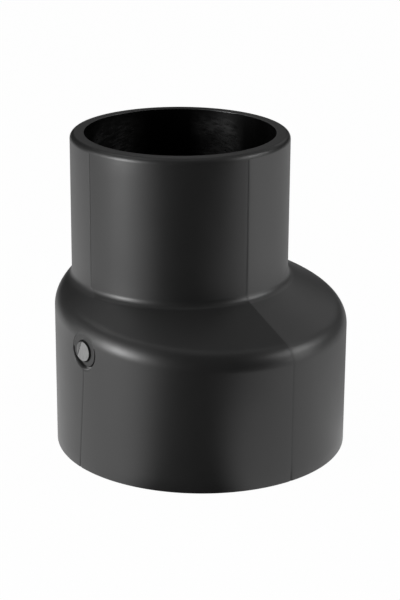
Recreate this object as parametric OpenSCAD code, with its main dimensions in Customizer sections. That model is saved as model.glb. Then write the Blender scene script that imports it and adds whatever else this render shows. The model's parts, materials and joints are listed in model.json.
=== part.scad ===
// Eccentric pipe reducer: one moulding with a wide spigot, a narrow spigot set to one side of its
// axis, and a sloping shoulder between them. Lengths are in millimetres and angles in degrees.
// The origin is the centre of the wide end, and the narrow spigot is set off towards +X.

/* [Spigots] */
// Outside diameter of the wide spigot
wide_od = 75; // [62:1:110]
// Outside diameter of the narrow spigot
narrow_od = 56; // [32:1:68]
// Wall thickness all round
wall = 3.6; // [2.5:0.1:4.8]
// Height from end to end
height = 80; // [70:1:140]
// Straight length of the narrow spigot
narrow_len = 36.5; // [25:0.5:44]
// How far the narrow spigot stands in from the wide one on the flush side
flush_step = 0.5; // [0.2:0.1:3]

/* [Shoulder] */
// Slope of the shoulder's flank above the horizontal
flank_slope = 24.5; // [15:0.5:40]
// Radius of the rounded edge round the outside of the shoulder
edge_r = 5.5; // [4:0.5:9]
// Radius of the fillet between the flank and the narrow spigot
fillet_r = 1; // [0.5:0.1:3]

/* [Ends] */
// Rounding of the narrow end's outer edge
rim_r = 1.5; // [0.3:0.1:2.3]
// Rounding of the wide end's outer edge
foot_r = 0.4; // [0.2:0.1:2]

/* [Gate mark] */
// Diameter of the cut gate stub
gate_d = 5; // [3:0.1:6]
// How far the cut face of the stub stands proud of the wide spigot's crown
stub_rise = 0.4; // [0.1:0.05:0.6]
// Diameter of the round recess that the stub stands in
recess_d = 9.2; // [8.5:0.1:12]
// Depth of the recess's flat floor under the crown of the wide spigot
recess_depth = 0.35; // [0.3:0.05:0.8]
// Width of the groove round the edge of the recess
groove_w = 0.4; // [0.3:0.1:0.9]
// Depth of the groove under the crown of the wide spigot
groove_depth = 0.9; // [0.85:0.05:1.4]
// Distance from the gate's centre up to the foot of the shoulder beside it
gate_drop = 2.4; // [2:0.1:10]
// Angle by which the gate stands nearer to the widest part of the shoulder than +Y
gate_turn = 1.4; // [-3:0.1:3]

/* [Hidden] */
$fn = 96;
// Directions about the narrow axis in which the shoulder's section is worked out
sides = 90;
// Radial margin that keeps the shoulder's facets clear of the true cylinders they run into
seam = 0.01;
// Length by which solids that meet reach into each other, and cutters past a surface
overlap = 1;
// Share of a small step that stays straight between the two arcs of the section
straight_share = 0.1;
// Smallest rounding left on the bore's side of the shoulder's edge
least_edge = 0.3;

wide_r = wide_od / 2;
narrow_r = narrow_od / 2;
axis_offset = wide_r - narrow_r - flush_step;
shoulder_top = height - narrow_len;
// Turn of both arcs where the shoulder has its full section
full_turn = 90 - flank_slope;
// Directions from the narrow axis: to the widest part of the shoulder, and to the gate, which is
// on the wide spigot at about right angles to the offset
widest = 180;
gate_side = 90 + atan((axis_offset + wide_r * sin(gate_turn)) / (wide_r * cos(gate_turn)));
gate_z = foot_height(reach(gate_side, wide_r) - narrow_r, edge_r + fillet_r) - gate_drop;
// The plain stretch of the wide spigot ends here, under the shoulder and the gate's recess
lowest_foot = foot_height(reach(widest, wide_r) - narrow_r, edge_r + fillet_r);
seat_z = min(lowest_foot, gate_z - recess_d / 2) - overlap;

// Distance from the narrow axis to the wide wall in direction a: the far root of a circle
// whose centre lies axis_offset away towards -X
function reach(a, r_wide) = sqrt(pow(r_wide, 2) - pow(axis_offset * sin(a), 2)) - axis_offset * cos(a);

// Angle through which the edge and the fillet turn, where the walls are a radial step apart. A
// step too small for the full turn gets as much of both arcs as fits beside a short straight
function turn(step, radii) =
    step * (1 - straight_share) < radii * (1 - cos(full_turn))
        ? acos(1 - step * (1 - straight_share) / radii)
        : full_turn;

// Height at which the rounded edge leaves the wide wall: down from the top of the shoulder by
// both arcs and by the straight flank between them
function foot_height(step, radii) =
    let (t = turn(step, radii), run = step - radii * (1 - cos(t)))
    shoulder_top - radii * sin(t) - run / tan(t);

// Number of steps in an arc of radius r
function arc_steps(r) = 3 + round(r);

// Section of the shoulder in direction a, as pairs of radius from the narrow axis and height,
// from the wide wall over the rounded edge, the flank and the fillet to the narrow wall
function section(a, r_wide, r_narrow, edge, fillet) =
    let (
        d = reach(a, r_wide),
        step = d - r_narrow,
        t = turn(step, edge + fillet),
        foot = foot_height(step, edge + fillet),
        m = arc_steps(edge),
        n = arc_steps(fillet)
    )
    concat(
        [[d, seat_z - overlap]],
        [for (i = [0:m]) [d - edge * (1 - cos(t * i / m)), foot + edge * sin(t * i / m)]],
        [for (i = [n:-1:0]) [r_narrow + fillet * (1 - cos(t * i / n)), shoulder_top - fillet * sin(t * i / n)]]
    );

// Loft of the shoulder's sections round the narrow axis. The last ring is drawn round the narrow
// cylinder and the first one inside the wide one
module shoulder(r_wide, r_narrow, edge, fillet) {
    ring_r = (r_narrow + seam) / cos(180 / sides);
    sections = [for (k = [0:sides - 1]) section(360 * k / sides, r_wide - seam, ring_r, edge, fillet)];
    rings = len(sections[0]);
    points = [
        for (k = [0:sides - 1], p = sections[k])
            [axis_offset + p[0] * cos(360 * k / sides), p[0] * sin(360 * k / sides), p[1]]
    ];
    function at(k, j) = (k % sides) * rings + j;
    faces = concat(
        [for (k = [0:sides - 1], j = [0:rings - 2]) [at(k, j), at(k, j + 1), at(k + 1, j)]],
        [for (k = [0:sides - 1], j = [0:rings - 2]) [at(k + 1, j), at(k, j + 1), at(k + 1, j + 1)]],
        [[for (k = [0:sides - 1]) at(k, 0)]],
        [[for (k = [sides - 1:-1:0]) at(k, rings - 1)]]
    );
    polyhedron(points, faces);
}

// Solid round bar of height h that stands on z = 0, with its lower edge rounded
module round_ended(r, h, edge) {
    rotate_extrude() {
        translate([0, edge]) square([r, h - edge]);
        square([r - edge, h]);
        intersection() {
            translate([r - edge, edge]) circle(edge);
            translate([r - edge, 0]) square(edge);
        }
    }
}

module outside() {
    round_ended(wide_r, seat_z, foot_r);
    shoulder(wide_r, narrow_r, edge_r, fillet_r);
    translate([axis_offset, 0, height]) mirror([0, 0, 1]) round_ended(narrow_r, narrow_len + overlap, rim_r);
}

// The bore keeps one wall thickness from the outside, so its arcs share the outside's centres
module bore() {
    inner_edge = max(edge_r - wall, least_edge);
    translate([0, 0, -overlap]) cylinder(r = wide_r - wall, h = seat_z + overlap);
    shoulder(wide_r - wall, narrow_r - wall, inner_edge, edge_r + fillet_r - inner_edge);
    translate([axis_offset, 0, shoulder_top - overlap]) cylinder(r = narrow_r - wall, h = narrow_len + 2 * overlap);
}

// Round bar about the gate's axis, from a depth under the crown of the wide spigot to a rise over it
module gate_bar(d, depth, rise) {
    rotate([0, 0, gate_turn])
        translate([0, wide_r - depth, gate_z])
            rotate([-90, 0, 0]) cylinder(d = d, h = depth + rise);
}

// What the mould's gate insert leaves out of the wall: a flat recess with a groove round its edge
module gate_recess() {
    gate_bar(recess_d, recess_depth, overlap);
    difference() {
        gate_bar(recess_d, groove_depth, overlap);
        gate_bar(recess_d - 2 * groove_w, groove_depth + overlap, 2 * overlap);
    }
}

module reducer() {
    color([0.13, 0.13, 0.135]) {
        difference() {
            outside();
            bore();
            gate_recess();
        }
        gate_bar(gate_d, recess_depth + overlap, stub_rise);
    }
}

reducer();
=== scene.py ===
"""Eccentric pipe reducer in black plastic: its moulded skin, its finish and a plain white studio.

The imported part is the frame. One detailed skin, worked out from the same sizes, stands for it: both
spigots, the sloping shoulder, the rim, the bore, the parting lines of the mould and the gate mark.
Lengths are in metres and angles in radians unless a name says otherwise.
"""
import json
import math

import bpy
import numpy as np
from mathutils import Matrix, Vector


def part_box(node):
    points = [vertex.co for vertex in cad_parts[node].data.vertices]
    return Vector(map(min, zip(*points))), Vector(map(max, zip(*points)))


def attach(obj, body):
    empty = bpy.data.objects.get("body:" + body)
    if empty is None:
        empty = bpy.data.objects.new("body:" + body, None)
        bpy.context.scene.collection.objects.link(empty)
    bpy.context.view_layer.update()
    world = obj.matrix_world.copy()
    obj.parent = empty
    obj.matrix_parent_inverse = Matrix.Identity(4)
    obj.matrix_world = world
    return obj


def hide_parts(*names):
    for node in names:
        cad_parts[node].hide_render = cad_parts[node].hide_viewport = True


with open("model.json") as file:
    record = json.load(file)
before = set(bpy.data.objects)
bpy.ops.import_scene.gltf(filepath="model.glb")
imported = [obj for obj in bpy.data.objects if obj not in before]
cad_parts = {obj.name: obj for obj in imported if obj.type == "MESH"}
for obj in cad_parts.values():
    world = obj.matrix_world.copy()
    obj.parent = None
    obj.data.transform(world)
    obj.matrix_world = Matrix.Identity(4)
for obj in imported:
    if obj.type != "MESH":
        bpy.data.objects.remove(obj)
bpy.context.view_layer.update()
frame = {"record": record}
MM = 0.001

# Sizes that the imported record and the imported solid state
MOUNT = {m["name"]: m for m in frame["record"]["mounts"]}
WIDE_R = MOUNT["wide_spigot"]["dims"]["r_mm"] * MM
NARROW_R = MOUNT["narrow_spigot"]["dims"]["r_mm"] * MM
OFFSET = MOUNT["narrow_spigot"]["pos_m"][0]
WALL = NARROW_R - MOUNT["narrow_bore"]["dims"]["r_mm"] * MM
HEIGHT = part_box("reducer")[1].z

# Sizes of the moulding that no mount states
SLOPE = math.radians(24.5)
EDGE_R = 5.5 * MM
# The fillet is drawn larger than the solid's, as its highlight shows, and its top lies higher by as
# much as keeps the flank in place
FILLET_R = 2.1 * MM
SHOULDER_TOP = HEIGHT - 35.79 * MM
RIM_R = 1.5 * MM
FOOT_R = 0.4 * MM
ARRIS_R = 0.12 * MM
STRAIGHT_SHARE = 0.1

# Gate mark: a cut stub in a round recess with a groove, on the wide spigot
GATE_TURN = math.radians(1.4)
GATE_DROP = 2.4 * MM
STUB_R = 2.5 * MM
RECESS_R = 4.6 * MM
RECESS_DEPTH = 0.35 * MM
GROOVE_DEPTH = 0.9 * MM
# The gap round the stub's root reaches this far under the floor
MOAT_DEPTH = 0.6 * MM
# The groove is wider at the lower left, and this much deeper than elsewhere
POCKET_DEPTH = 0.5 * MM
# The stub was cut a little askew: its face stands this far out of the wide wall's crown in the
# middle, and falls off by FACE_LEAN towards the wide side of the shoulder
FACE_RISE = 0.24 * MM
FACE_LEAN = 0.05
# A chip broke off the face beyond a straight line, this far from the middle
CHIP_DIR = math.radians(21.5)
CHIP_AT = 1.17 * MM
CHIP_SLOPE = math.radians(8)


def reach(a, wide):
    """Distance from the narrow axis to the wide wall in direction a: the far root of a circle of
    radius wide whose centre lies OFFSET away towards -X."""
    return np.sqrt(wide**2 - (OFFSET * np.sin(a)) ** 2) - OFFSET * np.cos(a)


def arcs(step, radii):
    """Turn of the shoulder's two arcs and the height of its foot, where the walls are step apart.
    A step too small for the full turn gets as much of both arcs as fits beside a short straight."""
    bend = np.clip(step * (1 - STRAIGHT_SHARE) / radii, 0, 1 - math.sin(SLOPE))
    turn = np.arccos(1 - bend)
    run = step - radii * (1 - np.cos(turn))
    return turn, SHOULDER_TOP - radii * np.sin(turn) - run / np.tan(turn)


def wall_point(theta, z, wide, narrow, edge, fillet):
    """Point of a wall at column theta and height z. Under the flank it is on the wide wall's ray
    wide*(cos theta, sin theta), and over it on the narrow wall's own ray theta. On the flank the
    direction from the narrow axis slides from the one to the other. The radius follows the
    section: wide wall, rounded edge, straight flank, fillet, narrow wall."""
    x, y = wide * np.cos(theta) - OFFSET, wide * np.sin(theta)
    a_wide = np.arctan2(y, x)
    turn, foot = arcs(np.hypot(x, y) - narrow, edge + fillet)
    flank_foot = foot + edge * np.sin(turn)
    share = np.clip((z - flank_foot) / (SHOULDER_TOP - flank_foot), 0, 1)
    a = a_wide + share * ((theta - a_wide + np.pi) % (2 * np.pi) - np.pi)
    d = reach(a, wide)
    turn, foot = arcs(d - narrow, edge + fillet)
    z_edge, z_fillet = foot + edge * np.sin(turn), SHOULDER_TOP - fillet * np.sin(turn)
    r_edge, r_fillet = d - edge * (1 - np.cos(turn)), narrow + fillet * (1 - np.cos(turn))
    up = np.clip(z - foot, 0, edge * np.sin(turn))
    down = np.clip(SHOULDER_TOP - z, 0, fillet * np.sin(turn))
    on_edge = d - edge + np.sqrt(edge**2 - up**2)
    on_fillet = narrow + fillet - np.sqrt(fillet**2 - down**2)
    along = np.clip((z - z_edge) / (z_fillet - z_edge), 0, 1)
    on_flank = r_edge + along * (r_fillet - r_edge)
    r = np.where(z < z_edge, on_edge, np.where(z < z_fillet, on_flank, on_fillet))
    return np.stack([OFFSET + r * np.cos(a), r * np.sin(a), z + 0 * r], axis=-1)


def ring_point(theta, r, z, x_axis):
    """Point at column theta of a ring of radius r and height z about an upright axis at x_axis."""
    return np.stack([x_axis + r * np.cos(theta), r * np.sin(theta), z + 0 * (r * theta)], axis=-1)


GATE_THETA = math.pi / 2 + GATE_TURN
GATE_REACH = math.hypot(WIDE_R * math.cos(GATE_THETA) - OFFSET, WIDE_R * math.sin(GATE_THETA))
GATE_Z = float(arcs(np.float64(GATE_REACH - NARROW_R), EDGE_R + FILLET_R)[1]) - GATE_DROP

# The block of the skin's grid that holds the gate mark: RINGS squares round the gate's centre
RINGS = 33
BLOCK = 7.3 * MM
# Radius of each square once it is drawn as a ring: stub face, its side, floor, groove, wall
RING_RADII = MM * np.array([
    0, 0.5, 1.0, 1.45, 1.85, 2.15, 2.36, 2.46, 2.51, 2.55, 2.62, 2.70, 2.76, 2.95, 3.4, 3.85, 4.08, 4.18,
    4.24, 4.34, 4.48, 4.58, 4.66, 4.76, 4.92, 5.12, 5.36, 5.6, 5.86, 6.12, 6.4, 6.7, 7.0, 7.3,
])
# Squares over which the rings turn back into the plain grid
BLEND_RINGS = 8

# Parting lines of the mould: on the flush side, through the gate, on the wide side of the shoulder
# and opposite the gate
LINES = [0.0, GATE_THETA, math.radians(179), 1.5 * math.pi]
LINE_HALF = 0.26 * MM
LINE_DEPTH = 0.10 * MM
# Masks of the skin that the finish reads
MASKS = ("parting_line", "cut_face_and_glint", "chip", "gap", "side_painted_light", "rim_painted_light", "bore")
# How plain each line is at the foot, on the wide spigot, on the shoulder and on the narrow spigot: the depth of
# its groove and its painted shade
LINE_STRENGTH = [(0.6, 0.6, 0.3, 0.8), (0.9, 0.7, 0.05, 1.0), (1.0, 0.25, 0.25, 0.8), (0.6, 0.6, 0.3, 0.8)]
# Painted light: the part is painted greyer beyond each parting line, beside the front quarter, for the shading
# step at the lines and the light the sides catch. Past the line on the wide side of the shoulder it is 1 on the
# narrow spigot, and past the gate's line it is GATE_SIDE. On the shoulder it is less, by these shares
GATE_SIDE = 0.3
FAR_SHOULDER_SHARE, GATE_SHOULDER_SHARE = 0.7, 0.6
# The greyness ends between these heights on the wide spigot
SIDE_ENDS = np.array([31, 35]) * MM


def column_angles():
    """Column angles over one turn, in ascending order: the gate block's own columns, close ones at
    each other parting line, and columns about 1.3 degrees apart between them. Returns them and
    the column on each line."""
    block = GATE_THETA + np.linspace(-BLOCK, BLOCK, 2 * RINGS + 1) / WIDE_R
    near = np.array([-0.5, -0.16, 0.0, 0.16, 0.5]) * MM / NARROW_R
    stops = [near, block, LINES[2] + near, LINES[3] + near, 2 * math.pi + near]
    angles = []
    for here, there in zip(stops, stops[1:]):
        count = max(2, round((there[0] - here[-1]) / math.radians(1.3)) + 1)
        angles += [here, np.linspace(here[-1], there[0], count)[1:-1]]
    theta = np.concatenate(angles)
    return theta, [int(np.argmin(abs(theta - line))) for line in LINES]


def leaning(theta, z):
    """Column angles at height z: theta, with the columns round the gate swung by a smooth hump. The
    line through the gate leans 3.3 degrees off under the mark and 1.4 degrees back over it."""
    swing = np.interp(z, [0, GATE_Z - BLOCK, GATE_Z + BLOCK, SHOULDER_TOP], np.radians([-3.3, 0, 0, -1.4]))
    hump = 0.5 + 0.5 * np.cos(math.pi * np.clip((theta - GATE_THETA) / math.radians(35), -1, 1))
    return theta + swing * hump


def bump(angle, middle, spread):
    """Bell curve of an angle in radians about a middle in degrees, with its spread in degrees."""
    away = (angle - math.radians(middle) + math.pi) % (2 * math.pi) - math.pi
    return np.exp(-((away / math.radians(spread)) ** 2))


def gate_block():
    """Columns and heights of the gate block, drawn round the gate. A vertex of square k, found by
    its larger grid step, goes to the ring of radius RING_RADII[k] at 45 degrees times its smaller
    step over its larger one. The stub's root is drawn in under its face, the groove's inner edge is
    drawn inwards at the lower left, and the last squares blend back to the plain grid. Returns theta,
    z, the plain ring radius and the place s, t beside and over the gate's centre."""
    step = np.arange(-RINGS, RINGS + 1)
    i, j = np.meshgrid(step, step, indexing="ij")
    k = np.maximum(abs(i), abs(j))
    small = np.where(abs(i) >= abs(j), j, i) / np.maximum(k, 1) * math.pi / 4
    large = np.where(np.where(abs(i) >= abs(j), i, j) >= 0, 1, -1) * np.cos(small)
    s = np.where(abs(i) >= abs(j), np.sin(small), large)
    t = np.where(abs(i) >= abs(j), large, np.sin(small))
    ring = RING_RADII[k]
    drawn_in = np.interp(ring, np.array([2.9, 3.4, 4.24, 4.5]) * MM, [0, 0.25 * MM, 0.9 * MM, 0])
    undercut = np.interp(ring, np.array([2.51, 2.55, 2.62]) * MM, [0, 0.25 * MM, 0])
    radius = ring - undercut - drawn_in * bump(np.arctan2(t, s), -108, 36)
    blend = np.clip((k - RINGS) / BLEND_RINGS + 1, 0, 1)
    s = radius * s * (1 - blend) + blend * j * BLOCK / RINGS
    t = radius * t * (1 - blend) + blend * i * BLOCK / RINGS
    return GATE_THETA + s / WIDE_R, GATE_Z + t, ring, s, t


def groove_share(s, t):
    """Share of the groove's depth in each direction from the gate's centre: whole within 100
    degrees of the one that points down and a little to the right, and next to none beyond."""
    away = abs((np.degrees(np.arctan2(t, s)) + 80 + 180) % 360 - 180)
    return 0.08 + 0.92 * np.clip((104 - away) / 8, 0, 1)


def chip_distance(s, t):
    """Distance beyond the straight line at which the chip broke off the stub's face."""
    return math.sin(CHIP_DIR) * t - math.cos(CHIP_DIR) * s - CHIP_AT


def gate_relief(plain, ring, s, t):
    """Distance from the wide axis, along the gate's own direction, of the skin near the gate: the
    plain wall outside the recess; inside it the lower of the wall and the floor; the groove's
    bottom round the floor; and in the middle the stub's leaning cut face, its side and a moat."""
    wear = 0.03 * MM * np.sin(2.1 * s / MM + 0.7) * np.cos(1.7 * t / MM)
    floor = np.minimum(plain, WIDE_R - RECESS_DEPTH + wear)
    pocket = POCKET_DEPTH * bump(np.arctan2(t, s), -114, 32)
    sunk = RECESS_DEPTH + (GROOVE_DEPTH - RECESS_DEPTH) * groove_share(s, t)
    deep = np.minimum(plain, WIDE_R - sunk) - pocket
    in_groove = np.interp(ring, np.array([4.16, 4.26, 4.56, 4.62]) * MM, [0, 1, 1, 0])
    recess = np.where(ring > RECESS_R + 0.03 * MM, plain, floor + in_groove * (deep - floor))
    moat = np.interp(ring, np.array([2.70, 2.76]) * MM, [MOAT_DEPTH, 0])
    broken = np.clip(chip_distance(s, t), 0, None) * math.tan(CHIP_SLOPE)
    face = WIDE_R + FACE_RISE - FACE_LEAN * s - broken
    side = np.interp(ring, np.array([2.46, 2.51, 2.55]) * MM, [0, 0.08, 1])
    return np.where(ring < STUB_R + 0.04 * MM, face + side * (floor - moat - face), recess - moat)


def skin_rows(columns):
    """Every row of the closed skin, as arrays of points over the columns: up the outside from the
    foot to the rim, across the rim, down the bore and back across the wide end. Returns the
    points, the first row of the gate block, and the first rows of the rim, bore and wide end."""
    outer = (WIDE_R, NARROW_R, EDGE_R, FILLET_R)
    inner = (WIDE_R - WALL, NARROW_R - WALL, EDGE_R - WALL, FILLET_R + WALL)

    def wall(heights, sizes):
        """Rows of a wall of those sizes, one at each height."""
        return [wall_point(leaning(columns, z), z, *sizes) for z in heights]

    def rings(radii, heights, x_axis):
        """Round rows, one for each pair of a radius and a height."""
        return [ring_point(leaning(columns, z), r, z, x_axis) for r, z in np.broadcast(radii, heights)]

    turn = np.linspace(0, math.pi / 2, 5)[:-1]
    foot = rings(WIDE_R - FOOT_R * (1 - np.sin(turn)), FOOT_R * (1 - np.cos(turn)), 0)
    below = np.linspace(FOOT_R, GATE_Z - BLOCK, 9)[:-1]
    block = np.linspace(GATE_Z - BLOCK, GATE_Z + BLOCK, 2 * RINGS + 1)
    flank = np.linspace(block[-1], SHOULDER_TOP - FILLET_R, 15)[1:-1]
    fillet = SHOULDER_TOP - FILLET_R * np.sin(np.linspace(math.pi / 2, 0, 11))
    straight = np.linspace(SHOULDER_TOP, HEIGHT - RIM_R, 8)[1:]
    outside = foot + wall(np.concatenate([below, block, flank, fillet, straight]), outer)

    turn = np.linspace(0, math.pi / 2, 13)[1:]
    rim = rings(NARROW_R - RIM_R * (1 - np.cos(turn)), HEIGHT - RIM_R * (1 - np.sin(turn)), OFFSET)
    bore_r = NARROW_R - WALL
    rim += rings(np.linspace(NARROW_R - RIM_R, bore_r + ARRIS_R, 5)[1:], HEIGHT, OFFSET)
    turn = np.linspace(0, math.pi / 2, 4)[1:]
    rim += rings(bore_r + ARRIS_R * (1 - np.sin(turn)), HEIGHT - ARRIS_R * (1 - np.cos(turn)), OFFSET)

    lowest = float(arcs(np.float64(WIDE_R + OFFSET - NARROW_R), EDGE_R + FILLET_R)[1])
    bore = wall(np.linspace(HEIGHT - 2 * ARRIS_R, SHOULDER_TOP, 9), inner)
    bore += wall(np.linspace(SHOULDER_TOP, lowest, 44)[1:], inner)
    bore += wall(np.linspace(lowest, ARRIS_R, 7)[1:], inner)

    bore_r = WIDE_R - WALL
    end = rings(bore_r + ARRIS_R * (1 - np.cos(turn)), ARRIS_R * (1 - np.sin(turn)), 0)
    end += rings(np.linspace(bore_r + ARRIS_R, WIDE_R - FOOT_R, 5)[1:-1], 0.0, 0)
    starts = np.cumsum([len(outside), len(rim), len(bore)])
    return np.array(outside + rim + bore + end), len(foot) + len(below), starts


def surface_normals(points):
    """Unit normals of a grid of points: the difference along the columns crossed with the
    difference along the rows, which points outwards on rows that go up."""
    along = np.roll(points, -1, axis=1) - np.roll(points, 1, axis=1)
    up = np.gradient(points, axis=0)
    normal = np.cross(along, up)
    return normal / np.linalg.norm(normal, axis=-1, keepdims=True)


def line_mask(columns, at_line, points, rows):
    """Strength of the parting lines at each vertex of the outside: 1 on a line, 0 at LINE_HALF from
    it, times the line's share in LINE_STRENGTH at that height."""
    z = points[:rows, :, 2]
    mask = np.zeros(points.shape[:2])
    over = np.array([GATE_Z - 2 * MM, GATE_Z + 4 * MM, SHOULDER_TOP - FILLET_R, SHOULDER_TOP + 2 * MM])
    stops = np.concatenate([[2 * MM, 4 * MM], over])
    for line, (foot, wide, shoulder, narrow) in zip(at_line, LINE_STRENGTH):
        away = (columns - columns[line] + math.pi) % (2 * math.pi) - math.pi
        near = np.clip(1 - abs(away) * NARROW_R / LINE_HALF, 0, 1)
        mask[:rows] += near * np.interp(z, stops, [foot, wide, wide, shoulder, shoulder, narrow])
    return mask


def gate_masks(ring, s, t):
    """Two masks of the gate mark. The first is the stub's cut face and a painted glint on the groove's lower
    edge.
    The second is what lies in shade: the moat, the groove, the floor at the lower left and a lip
    under the groove, with the rest of the floor a little shaded, less the painted glint."""
    direction = np.arctan2(t, s)

    def between(radii, values):
        """Values by the ring's radius, even between the stated radii in millimetres."""
        return np.interp(ring, np.array(radii) * MM, values)

    # Painted highlight: a glint on the groove's lower edge, painted pale like the cut face
    painted_glint = between([4.34, 4.48, 4.66, 4.76], [0, 1, 1, 0]) * bump(direction, -70, 16)
    cut_face_and_glint = between([2.46, 2.51], [1, 0]) + painted_glint
    moat = between([2.46, 2.51, 2.76, 2.95], [0, 1, 1, 0])
    groove = between([4.08, 4.18, 4.58, 4.66], [0, 1, 1, 0]) * groove_share(s, t)
    below = between([2.95, 3.4, 4.24, 4.34], [0, 0.8, 1, 0]) * bump(direction, -116, 36)
    lip = 0.7 * between([4.76, 4.92, 5.3], [0, 1, 0]) * bump(direction, -76, 20)
    floor = 0.3 * between([2.76, 2.95, 4.08, 4.24], [0, 1, 1, 0])
    return cut_face_and_glint, np.clip(moat + groove + np.maximum(below + lip, floor) - 2 * painted_glint, 0, 1)


def side_painted_light_share(columns, z):
    """Painted light on the outside, as greyness: nothing in the front quarter, and its share beyond each parting
    line.
    It changes sharply on the narrow spigot. On the shoulder it fades in over the columns beside
    the gate. It falls to nothing between the heights SIDE_ENDS."""
    beyond = columns >= LINES[2]
    sharp = np.where(beyond, 1, np.where(columns < GATE_THETA, GATE_SIDE, 0))
    fading = np.interp(columns - GATE_THETA, np.radians([-5, 30]), [GATE_SHOULDER_SHARE * GATE_SIDE, 0])
    soft = np.where(beyond, FAR_SHOULDER_SHARE, fading)
    return np.where(z > SHOULDER_TOP - FILLET_R, sharp, soft) * np.interp(z, SIDE_ENDS, [0, 1])


def build_skin():
    """The reducer's closed skin: a grid of columns and rows that wraps both ways, with the gate mark
    in its block and a shallow witness line of the mould down each parting column. Returns the
    points and the masks that the finish reads."""
    columns, at_line = column_angles()
    points, block_row, (rim_row, bore_row, end_row) = skin_rows(columns)
    span = 2 * RINGS + 1
    first = at_line[1] - RINGS
    block = np.s_[block_row:block_row + span, first:first + span]
    theta, z, ring, s, t = gate_block()
    points[block] = wall_point(theta, z, WIDE_R, NARROW_R, EDGE_R, FILLET_R)
    line = line_mask(columns, at_line, points, rim_row)
    line[block] *= ring > RECESS_R + 0.1 * MM
    outside = points[:rim_row]
    outside -= (LINE_DEPTH * line[:rim_row])[..., None] * surface_normals(outside)

    # In the gate's own frame the first axis runs along s and the second one out of the wall
    cos, sin = math.cos(GATE_THETA), math.sin(GATE_THETA)
    turn = np.array([[-sin, cos], [cos, sin]])
    level = points[block][..., :2] @ turn.T
    level[..., 1] = gate_relief(level[..., 1], ring, s, t)
    points[block][..., :2] = level @ turn

    masks = {name: np.zeros(points.shape[:2]) for name in MASKS}
    masks["parting_line"] = line
    masks["cut_face_and_glint"][block], masks["gap"][block] = gate_masks(ring, s, t)
    masks["chip"][block] = chip_distance(s, t) / MM
    masks["side_painted_light"][:rim_row] = side_painted_light_share(columns, points[:rim_row, :, 2])
    # Painted light: the rim's flat top is painted lighter, as light from behind would show it, and less so round
    # the column at -38 degrees
    rim = np.interp(points[rim_row:bore_row, :, 2] - HEIGHT, np.array([-0.12, -0.01]) * MM, [0, 1])
    masks["rim_painted_light"][rim_row:bore_row] = rim * (1 - 0.7 * bump(columns, -38, 24))
    masks["rim_painted_light"][bore_row - 1] = 0
    masks["bore"][bore_row - 1:end_row] = 1
    return points, masks


def mesh_piece(name, points, masks):
    """Mesh object of a grid that wraps along both its rows and its columns, with each mask as an
    attribute of its vertices."""
    rows, columns = points.shape[:2]
    index = np.arange(rows * columns).reshape(rows, columns)
    right, above = np.roll(index, -1, axis=1), np.roll(index, -1, axis=0)
    faces = np.stack([index, right, np.roll(above, -1, axis=1), above], axis=-1).reshape(-1, 4)
    mesh = bpy.data.meshes.new(name)
    mesh.vertices.add(rows * columns)
    mesh.vertices.foreach_set("co", points.astype(np.float32).ravel())
    mesh.loops.add(faces.size)
    mesh.loops.foreach_set("vertex_index", faces.astype(np.int32).ravel())
    mesh.polygons.add(len(faces))
    mesh.polygons.foreach_set("loop_start", np.arange(0, faces.size, 4, dtype=np.int32))
    mesh.polygons.foreach_set("use_smooth", np.ones(len(faces), dtype=bool))
    mesh.update(calc_edges=True)
    for mask, values in masks.items():
        layer = mesh.attributes.new(mask, "FLOAT", "POINT")
        layer.data.foreach_set("value", values.astype(np.float32).ravel())
    mesh.validate()
    piece = bpy.data.objects.new(name, mesh)
    bpy.context.scene.collection.objects.link(piece)
    return piece


def shader_group(name, inputs, outputs):
    """Empty shader node group with those sockets, as pairs of name and socket type or default."""
    group = bpy.data.node_groups.new(name, "ShaderNodeTree")
    for label, default in inputs:
        kind = "NodeSocketVector" if default is None else "NodeSocketFloat"
        socket = group.interface.new_socket(label, in_out="INPUT", socket_type=kind)
        if default is not None:
            socket.default_value = default
    for label in outputs:
        group.interface.new_socket(label, in_out="OUTPUT", socket_type="NodeSocketFloat")
    return group, group.nodes.new("NodeGroupInput"), group.nodes.new("NodeGroupOutput")


def join(tree, source, target):
    """Links two sockets."""
    tree.links.new(source, target)


def maths(tree, operation, a, b=None, c=None, clamp=False):
    """Output of a Math node whose inputs are sockets or plain numbers."""
    node = tree.nodes.new("ShaderNodeMath")
    node.operation, node.use_clamp = operation, clamp
    for socket, value in zip(node.inputs, (a, b, c)):
        if hasattr(value, "is_output"):
            tree.links.new(value, socket)
        elif value is not None:
            socket.default_value = value
    return node.outputs[0]


def noise(tree, vector, scale, detail, roughness=0.5):
    """Output of a Noise Texture in three dimensions."""
    node = tree.nodes.new("ShaderNodeTexNoise")
    node.inputs["Scale"].default_value = scale
    node.inputs["Detail"].default_value = detail
    node.inputs["Roughness"].default_value = roughness
    join(tree, vector, node.inputs["Vector"])
    return node.outputs["Fac"]


def ramp(tree, value, low, high, at_low, at_high, smooth=False):
    """Output of a Map Range node: at_low below low, at_high over high, and even between them."""
    node = tree.nodes.new("ShaderNodeMapRange")
    node.interpolation_type = "SMOOTHSTEP" if smooth else "LINEAR"
    join(tree, value, node.inputs["Value"])
    for label, number in (("From Min", low), ("From Max", high), ("To Min", at_low), ("To Max", at_high)):
        node.inputs[label].default_value = number
    return node.outputs["Result"]


def moulded_surface_group():
    """Unevenness of a moulded face: broad soft sinks, fine spark texture and slow change of shine."""
    group, given, out = shader_group(
        "moulded surface", [("Vector", None), ("Sink", 0.5), ("Texture", 0.5)], ["Height", "Shine"]
    )
    vector = given.outputs["Vector"]
    sink = maths(group, "MULTIPLY", noise(group, vector, 60, 1.0), given.outputs["Sink"])
    grain = maths(group, "MULTIPLY", noise(group, vector, 2600, 3.0, 0.6), given.outputs["Texture"])
    join(group, maths(group, "ADD", sink, grain), out.inputs["Height"])
    join(group, noise(group, vector, 140, 3.0), out.inputs["Shine"])
    return group


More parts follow.
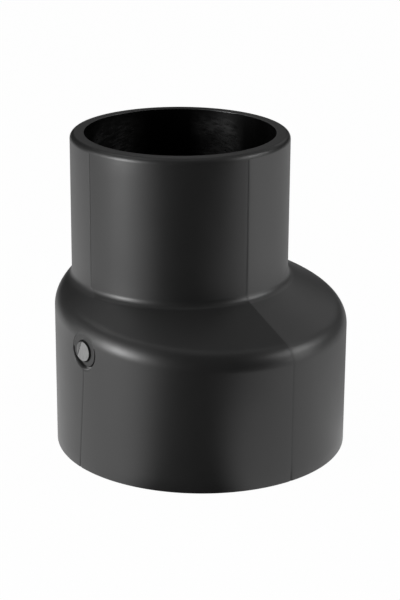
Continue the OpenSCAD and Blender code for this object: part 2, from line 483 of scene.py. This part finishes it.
def turned_scuffs_group():
    """Fine scuffs that run round an upright axis at Axis X: noise drawn out along the circumference
    and let through round one direction, Middle, in radians, by 1.1 less Narrowness times the
    difference between 1 and the cosine of the angle from it. They fade out towards Rim Z."""
    inputs = [("Vector", None), ("Axis X", 0.0), ("Middle", 0.0), ("Narrowness", 35.0), ("Rim Z", 0.08)]
    group, given, out = shader_group("turned scuffs", inputs, ["Mask"])
    split = group.nodes.new("ShaderNodeSeparateXYZ")
    join(group, given.outputs["Vector"], split.inputs["Vector"])
    x = maths(group, "SUBTRACT", split.outputs["X"], given.outputs["Axis X"])
    angle = maths(group, "ARCTAN2", split.outputs["Y"], x)
    lift = maths(group, "MULTIPLY", maths(group, "SINE", maths(group, "MULTIPLY", angle, 2.0)), 0.002)
    stretched = group.nodes.new("ShaderNodeCombineXYZ")
    join(group, maths(group, "MULTIPLY", maths(group, "COSINE", angle), 0.006), stretched.inputs["X"])
    join(group, maths(group, "MULTIPLY", maths(group, "SINE", angle), 0.006), stretched.inputs["Y"])
    join(group, maths(group, "ADD", split.outputs["Z"], lift), stretched.inputs["Z"])
    streaks = noise(group, stretched.outputs["Vector"], 1500, 4.0, 0.7)
    patches = noise(group, given.outputs["Vector"], 160, 3.0)
    towards = maths(group, "COSINE", maths(group, "SUBTRACT", angle, given.outputs["Middle"]))
    beside = maths(group, "MULTIPLY", maths(group, "SUBTRACT", towards, 1.0), given.outputs["Narrowness"])
    window = maths(group, "ADD", beside, 1.1, clamp=True)
    below = maths(group, "SUBTRACT", given.outputs["Rim Z"], split.outputs["Z"])
    window = maths(group, "MULTIPLY", window, ramp(group, below, 0.5 * MM, 5 * MM, 0.15, 1.0))
    sharp = maths(group, "MULTIPLY", maths(group, "SUBTRACT", streaks, 0.28), 2.0, clamp=True)
    where = maths(group, "MULTIPLY", maths(group, "SUBTRACT", patches, 0.18), 2.0, clamp=True)
    join(group, maths(group, "MULTIPLY", maths(group, "MULTIPLY", sharp, where), window), out.inputs["Mask"])
    return group


def placed(tree, group, place, **values):
    """Node of a shader group, fed with the place and with plain values for its named inputs."""
    node = tree.nodes.new("ShaderNodeGroup")
    node.node_tree = group
    join(tree, place, node.inputs["Vector"])
    for label, value in values.items():
        node.inputs[label.replace("_", " ")].default_value = value
    return node


def tinted(tree, mask, under, grey):
    """Colour that turns from the one under it, a socket or a grey, to a grey where the mask is 1."""
    node = tree.nodes.new("ShaderNodeMix")
    node.data_type = "RGBA"
    join(tree, mask, node.inputs["Factor"])
    if hasattr(under, "is_output"):
        join(tree, under, node.inputs["A"])
    else:
        node.inputs["A"].default_value = (under, under, under, 1)
    node.inputs["B"].default_value = (grey, grey, grey, 1)
    return node.outputs["Result"]


# Greys of the black plastic, as its linear base colour, and greys of painted light and shade on it
FRONT_GREY = 0.0135
# Painted light: the sides past the parting lines
SIDE_PAINTED_LIGHT_GREY = 0.072
# Painted light: the rim's top
RIM_PAINTED_LIGHT_GREY = 0.056
# Painted shade: the bore, darker than the plastic as shade inside it
BORE_SHADE_GREY = 0.001
SCUFF_GREY = 0.05
# The cut face's own pale grey, also used for the painted glint on the groove
CUT_AND_GLINT_GREY = 0.23
CHIP_GREY = 0.06
STROKE_GREY = 0.6 * CUT_AND_GLINT_GREY
BROKEN_GREY = 0.01
# Painted shade: the parting lines and the gate's moat, groove and shaded floor
PAINTED_SHADE_GREY = 0.0008
# Roughness of the plain face, how far its shine wanders, and what each mask adds to it
POLISH, SHINE_SPREAD = 0.40, 0.06
ROUGHER = [
    ("cut_face_and_glint", 0.2), ("parting_line", 0.5), ("bore", -0.18), ("scuffed", 0.2), ("rim_painted_light", 0.2), ("gap", 0.6),
]
# Patches of scuffs in the bore: direction of the middle in degrees, and narrowness
SCUFF_PATCHES = [(-62, 20.0), (10, 10.0)]


def black_plastic():
    """Satin black polyethylene. Beside the front quarter the halves are painted a little greyer, as painted
    light on the sides. The rim's top is painted lighter, as light from behind. The bore is painted blacker, as
    shade, and is scuffed.
    The stub's cut face is pale with fine strokes and a duller chip, with a painted glint on the groove's lower
    edge, and the groove and the parting lines are painted dark, as shade."""
    material = bpy.data.materials.new("black polyethylene")
    material.use_nodes = True
    tree = material.node_tree
    shader = next(n for n in tree.nodes if n.type == "BSDF_PRINCIPLED")
    place = tree.nodes.new("ShaderNodeTexCoord").outputs["Object"]
    mask = {}
    for name in MASKS:
        node = tree.nodes.new("ShaderNodeAttribute")
        node.attribute_name = name
        mask[name] = node.outputs["Fac"]
    surface = placed(tree, moulded_surface_group(), place, Sink=0.6, Texture=0.06)
    turned = turned_scuffs_group()
    about = {"Axis_X": OFFSET, "Rim_Z": HEIGHT}
    right, left = [
        placed(tree, turned, place, Middle=math.radians(middle), Narrowness=narrowness, **about)
        for middle, narrowness in SCUFF_PATCHES
    ]
    scuffed = maths(tree, "ADD", right.outputs["Mask"], left.outputs["Mask"], clamp=True)
    scuffed = maths(tree, "MULTIPLY", scuffed, mask["bore"])

    # The cut face: strokes drawn out upwards, and a dark broken edge along the chip
    drawn = tree.nodes.new("ShaderNodeMapping")
    drawn.inputs["Scale"].default_value = (1.0, 1.0, 0.25)
    join(tree, place, drawn.inputs["Vector"])
    strokes = noise(tree, drawn.outputs["Vector"], 3200, 2.0)
    broken = noise(tree, place, 2600, 1.0)
    on_chip = maths(tree, "MULTIPLY_ADD", mask["chip"], 8.0, 0.5, clamp=True)
    from_edge = maths(tree, "ABSOLUTE", maths(tree, "SUBTRACT", mask["chip"], 0.10))
    edge = maths(tree, "MULTIPLY_ADD", from_edge, -7.0, 1.7, clamp=True)
    edge = maths(tree, "MULTIPLY", edge, maths(tree, "MULTIPLY_ADD", broken, 8.0, -3.2, clamp=True))

    # Painted light: greyer past the parting lines, for the shading step there and the lit sides
    colour = tinted(tree, mask["side_painted_light"], FRONT_GREY, SIDE_PAINTED_LIGHT_GREY)
    # Painted shade: the bore is made blacker
    colour = tinted(tree, mask["bore"], colour, BORE_SHADE_GREY)
    colour = tinted(tree, scuffed, colour, SCUFF_GREY)
    # Painted light: the rim's top, lighter as if lit from behind
    colour = tinted(tree, mask["rim_painted_light"], colour, RIM_PAINTED_LIGHT_GREY)
    # Painted shade: the parting lines, dark as shade in their shallow groove
    colour = tinted(tree, mask["parting_line"], colour, PAINTED_SHADE_GREY)
    # Painted shade: the gate's moat, groove and shaded floor
    colour = tinted(tree, mask["gap"], colour, PAINTED_SHADE_GREY)
    cut = tinted(tree, on_chip, CUT_AND_GLINT_GREY, CHIP_GREY)
    cut = tinted(tree, maths(tree, "MULTIPLY_ADD", strokes, 1.6, -0.5, clamp=True), cut, STROKE_GREY)
    cut = tinted(tree, edge, cut, BROKEN_GREY)
    # The cut face, and the painted glint on the groove's lower edge, take the pale cut colour
    whole = tree.nodes.new("ShaderNodeMix")
    whole.data_type = "RGBA"
    join(tree, mask["cut_face_and_glint"], whole.inputs["Factor"])
    join(tree, colour, whole.inputs["A"])
    join(tree, cut, whole.inputs["B"])
    join(tree, whole.outputs["Result"], shader.inputs["Base Color"])

    mask["scuffed"] = scuffed
    rough = maths(tree, "MULTIPLY_ADD", surface.outputs["Shine"], SHINE_SPREAD, POLISH - SHINE_SPREAD / 2)
    for name, more in ROUGHER:
        rough = maths(tree, "MULTIPLY_ADD", mask[name], more, rough, clamp=name == "gap")
    join(tree, rough, shader.inputs["Roughness"])
    relief = tree.nodes.new("ShaderNodeBump")
    relief.inputs["Distance"].default_value = 0.00015
    relief.inputs["Strength"].default_value = 0.5
    join(tree, surface.outputs["Height"], relief.inputs["Height"])
    join(tree, relief.outputs["Normal"], shader.inputs["Normal"])
    shader.inputs["Specular IOR Level"].default_value = 0.65
    return material


# Part of the table that gloss sees dark, in front of the part: between two azimuths from the
# camera's side, positive to the right, each as a pair of its values at a near and a far distance.
# Each edge is as soft as DARK_EDGE to both sides
DARK_LEFT, LEFT_AT = np.radians([-25, -31]), (0.040, 0.080)
DARK_RIGHT, RIGHT_AT = np.radians([15, 56]), (0.080, 0.190)
DARK_EDGE = math.radians(9)
# Behind the part, and far off, gloss sees the table at these shares of its glow. It falls to them
# between two angles, counted both ways from BACK_TURN left of the camera's side, and between two
# distances
BACK_TURN = math.radians(15)
BACK_AT, BACK_GLOW = np.radians([95, 145]), 0.5
FAR_AT, FAR_GLOW = (0.160, 0.300), 0.6
# The rest of what the camera sees of the table is its shaded colour
GLOW_SHARE = 0.985
TABLE_HALF = 2.4


def pale_table(ahead):
    """Pale table top. To camera, glossy and transmission rays it glows at 1, mixed with a little of
    its own shaded colour, which keeps the part's shadow. Gloss sees that glow less a dark share.
    That share is 1 between the left and the right border of the front sector, where each border's
    azimuth changes evenly with the distance from the part's middle, plus what BACK_GLOW leaves
    behind the part. Far off it is at least what FAR_GLOW leaves, and under the part it is 1."""
    material = bpy.data.materials.new("pale table")
    material.use_nodes = True
    tree = material.node_tree
    shader = next(n for n in tree.nodes if n.type == "BSDF_PRINCIPLED")
    shader.inputs["Base Color"].default_value = (0.85, 0.85, 0.85, 1)
    shader.inputs["Roughness"].default_value = 0.9
    shader.inputs["Specular IOR Level"].default_value = 0.1
    turned = tree.nodes.new("ShaderNodeMapping")
    turned.inputs["Rotation"].default_value = (0, 0, -math.atan2(ahead.y, ahead.x))
    join(tree, tree.nodes.new("ShaderNodeTexCoord").outputs["Object"], turned.inputs["Vector"])
    split = tree.nodes.new("ShaderNodeSeparateXYZ")
    join(tree, turned.outputs["Vector"], split.inputs["Vector"])
    azimuth = maths(tree, "ARCTAN2", split.outputs["Y"], split.outputs["X"])
    distance = tree.nodes.new("ShaderNodeVectorMath")
    distance.operation = "LENGTH"
    join(tree, turned.outputs["Vector"], distance.inputs[0])
    away = distance.outputs["Value"]
    past_left = maths(tree, "SUBTRACT", azimuth, ramp(tree, away, *LEFT_AT, *DARK_LEFT))
    past_left = ramp(tree, past_left, -DARK_EDGE, DARK_EDGE, 0.0, 1.0, True)
    past_right = maths(tree, "SUBTRACT", azimuth, ramp(tree, away, *RIGHT_AT, *DARK_RIGHT))
    past_right = ramp(tree, past_right, -DARK_EDGE, DARK_EDGE, 1.0, 0.0, True)
    behind = maths(tree, "ABSOLUTE", maths(tree, "ADD", azimuth, BACK_TURN))
    behind = ramp(tree, behind, *BACK_AT, 0.0, 1 - BACK_GLOW, True)
    far = ramp(tree, away, *FAR_AT, 0.0, 1 - FAR_GLOW)
    covered = ramp(tree, away, WIDE_R - WALL, WIDE_R, 1.0, 0.0)
    dark = maths(tree, "MULTIPLY_ADD", past_left, past_right, behind)
    dark = maths(tree, "MAXIMUM", maths(tree, "MAXIMUM", dark, far), covered)
    path = tree.nodes.new("ShaderNodeLightPath")
    shade = maths(tree, "MULTIPLY", path.outputs["Is Glossy Ray"], dark)
    glow = tree.nodes.new("ShaderNodeEmission")
    join(tree, maths(tree, "SUBTRACT", 1.0, shade), glow.inputs["Strength"])
    seen = maths(tree, "MAXIMUM", path.outputs["Is Camera Ray"], path.outputs["Is Glossy Ray"])
    seen = maths(tree, "MAXIMUM", seen, path.outputs["Is Transmission Ray"])
    mix = tree.nodes.new("ShaderNodeMixShader")
    join(tree, maths(tree, "MULTIPLY", seen, GLOW_SHARE), mix.inputs["Fac"])
    join(tree, shader.outputs["BSDF"], mix.inputs[1])
    join(tree, glow.outputs["Emission"], mix.inputs[2])
    out = next(n for n in tree.nodes if n.type == "OUTPUT_MATERIAL")
    join(tree, mix.outputs["Shader"], out.inputs["Surface"])
    return material


# Camera, solved from the outline in the photo, which is 400 pixels wide and 600 high
PHOTO_HIGH = 600
SENSOR_MM = 36
CAMERA_AT = Vector((-0.3542, 0.2775, 0.19425))
CAMERA_LOOK = Vector((0.7436, -0.5818, -0.3295)).normalized()
CAMERA_ROLL = math.radians(0.34)
FOCAL_PX = 1853.6


def make_camera():
    """Camera of the photo, with its sensor's width along the picture's long side."""
    data = bpy.data.cameras.new("camera")
    data.sensor_fit, data.sensor_width = "AUTO", SENSOR_MM
    data.lens = FOCAL_PX * SENSOR_MM / PHOTO_HIGH
    data.clip_start, data.clip_end = 0.02, 20
    camera = bpy.data.objects.new("camera", data)
    right = CAMERA_LOOK.cross(Vector((0, 0, 1))).normalized()
    up = right.cross(CAMERA_LOOK)
    turned_right = right * math.cos(CAMERA_ROLL) + up * math.sin(CAMERA_ROLL)
    turned_up = -right * math.sin(CAMERA_ROLL) + up * math.cos(CAMERA_ROLL)
    turn = Matrix((turned_right, turned_up, -CAMERA_LOOK)).transposed()
    camera.matrix_world = Matrix.Translation(CAMERA_AT) @ turn.to_4x4()
    bpy.context.scene.collection.objects.link(camera)
    bpy.context.scene.camera = camera


# Softboxes: name, azimuth from the camera's side (positive to the right), elevation, width and
# height in metres, power in watts. Each stands a metre off and faces the part
SOFTBOXES = [
    ("left box", -60, 9, 0.30, 0.42, 7.6),
    ("left side box", -90, 9, 0.30, 0.42, 0.7),
    ("high left box", -60, 30, 0.25, 0.20, 0.9),
    ("high left side box", -84, 32, 0.45, 0.18, 0.2),
    ("overhead left box", -60, 55, 0.30, 0.30, 0.22),
    ("right box", 80, 9, 0.45, 0.42, 1.25),
    ("high right box", 88, 32, 0.42, 0.30, 2.4),
    ("back right box", 150, 30, 0.40, 0.40, 0.27),
    ("overhead back left box", -120, 60, 0.40, 0.40, 0.7),
    ("overhead back right box", 120, 60, 0.40, 0.40, 0.33),
    ("top box", 0, 90, 0.50, 0.50, 0.35),
]
BOX_DISTANCE = 1.0
ROOM_GREY = 0.004


def light_studio(ahead, aside):
    """Softboxes round the part. A box's direction is its azimuth turned from ahead towards aside
    and then raised by its elevation."""
    centre = Vector((0, 0, HEIGHT / 2))
    for name, azimuth, elevation, width, height, power in SOFTBOXES:
        a, e = math.radians(azimuth), math.radians(elevation)
        to_box = (ahead * math.cos(a) + aside * math.sin(a)) * math.cos(e) + Vector((0, 0, math.sin(e)))
        data = bpy.data.lights.new(name, "AREA")
        data.shape, data.size, data.size_y, data.energy = "RECTANGLE", width, height, power
        box = bpy.data.objects.new(name, data)
        box.location = centre + to_box * BOX_DISTANCE
        box.rotation_euler = (-to_box).to_track_quat("-Z", "Y").to_euler()
        bpy.context.scene.collection.objects.link(box)


def surround_room():
    """The room: white to the camera and to transmission rays, and nearly dark to all the others, so
    that the black part mirrors a dark room over the table, as the photograph shows."""
    world = bpy.data.worlds.new("room")
    world.use_nodes = True
    tree = world.node_tree
    white = tree.nodes["Background"]
    white.inputs["Color"].default_value = (1, 1, 1, 1)
    path = tree.nodes.new("ShaderNodeLightPath")
    seen = maths(tree, "MAXIMUM", path.outputs["Is Camera Ray"], path.outputs["Is Transmission Ray"])
    join(tree, maths(tree, "MULTIPLY_ADD", seen, 1 - ROOM_GREY, ROOM_GREY), white.inputs["Strength"])
    bpy.context.scene.world = world


def make_table(ahead):
    """Flat square table top, TABLE_HALF from its middle to each side, under the part."""
    mesh = bpy.data.meshes.new("table top")
    corners = [(TABLE_HALF * x, TABLE_HALF * y, 0.0) for x, y in ((-1, -1), (1, -1), (1, 1), (-1, 1))]
    mesh.from_pydata(corners, [], [(0, 1, 2, 3)])
    mesh.materials.append(pale_table(ahead))
    table = bpy.data.objects.new("table top", mesh)
    bpy.context.scene.collection.objects.link(table)


points, masks = build_skin()
skin = mesh_piece("reducer_skin", points, masks)
skin.data.materials.append(black_plastic())
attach(skin, "root")
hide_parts("reducer")

towards_camera = Vector((-CAMERA_LOOK.x, -CAMERA_LOOK.y, 0)).normalized()
to_the_right = Vector((-towards_camera.y, towards_camera.x, 0))
make_table(towards_camera)
make_camera()
light_studio(towards_camera, to_the_right)
surround_room()
bpy.context.scene.view_settings.view_transform = "Standard"
